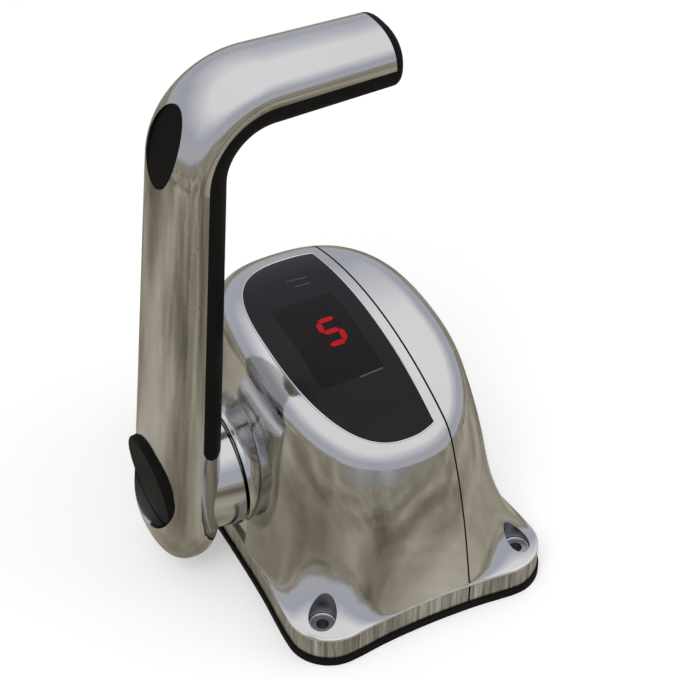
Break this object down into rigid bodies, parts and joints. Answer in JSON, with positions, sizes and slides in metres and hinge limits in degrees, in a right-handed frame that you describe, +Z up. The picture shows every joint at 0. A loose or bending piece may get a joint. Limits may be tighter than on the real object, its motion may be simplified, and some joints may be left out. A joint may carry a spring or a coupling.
{
  "type": "boat throttle control lever",
  "caption": "Boat throttle control head: domed polished housing on an eared base, a swinging side lever with a bent-over rubber grip, and a glossy display panel on the crown.",
  "frame": {"origin": "centre of the deck bolt pattern on the mounting plane, under the gasket", "axes": "+Z up from the deck; +Y ahead, away from the helmsman; +X from the lever towards the side cover"},
  "size_m": [0.1297, 0.1538, 0.2067],
  "materials": {
    "polished_metal": "mirror-polished",
    "black_rubber": "matt, soft",
    "grip_rubber": "satin, soft",
    "plug_plastic": "matt",
    "panel_plastic": "glossy black",
    "cast_aluminium": "as cast",
    "plate_aluminium": "brushed",
    "turned_steel": "turned",
    "spring_steel": "drawn wire",
    "bearing_bronze": "turned",
    "contact_brass": "bright",
    "acetal": "natural white",
    "sensor_plastic": "moulded",
    "board_laminate": "coated",
    "display_glass": "smooth"
  },
  "bodies": {
    "base": {"base_gasket": "black_rubber", "base_plate": "plate_aluminium", "base_plate_screws": "turned_steel", "housing_main": "polished_metal", "housing_side_cover": "polished_metal", "cover_dowels": "turned_steel", "display_panel": "panel_plastic", "display_module": "display_glass", "control_board": "board_laminate", "control_board_screws": "turned_steel", "shaft_seal": "black_rubber", "outer_bush": "bearing_bronze", "inner_bush": "bearing_bronze", "bearing_bracket": "cast_aluminium", "bracket_screws": "turned_steel", "detent_barrel": "plate_aluminium", "detent_ball": "turned_steel", "detent_spring": "spring_steel", "stop_pins": "turned_steel", "position_sensor": "sensor_plastic", "sensor_screws": "turned_steel", "friction_shoe": "acetal", "friction_screw": "turned_steel", "harness_inlet": "sensor_plastic", "inlet_contacts": "contact_brass"},
    "lever": {"lever_casting": "polished_metal", "grip_insert": "grip_rubber", "elbow_plug": "plug_plastic", "pivot_plug": "plug_plastic", "lever_clamp_screw": "turned_steel", "lever_clamp_washer": "turned_steel", "lever_shaft": "turned_steel", "detent_wheel": "turned_steel", "shaft_spacers": "plate_aluminium", "shaft_key": "turned_steel", "drive_gear": "acetal", "shaft_retaining_ring": "spring_steel"},
    "sensor_rotor": {"sensor_pinion": "acetal", "sensor_spindle": "turned_steel"}
  },
  "joints": [
    {"name": "lever_swing", "type": "hinge", "parent": "base", "child": "lever", "pos_m": [-0.0465, 0, 0.0405], "axis": [-1, 0, 0], "range_deg": [-60, 75]},
    {"name": "sensor_turn", "type": "hinge", "parent": "base", "child": "sensor_rotor", "pos_m": [-0.013, 0.01909, 0.02141], "axis": [-1, 0, 0], "range_deg": [-150, 120]}
  ],
  "couplings": [
    {"joint": "sensor_turn", "follows": "lever_swing", "ratio": -2}
  ]
}
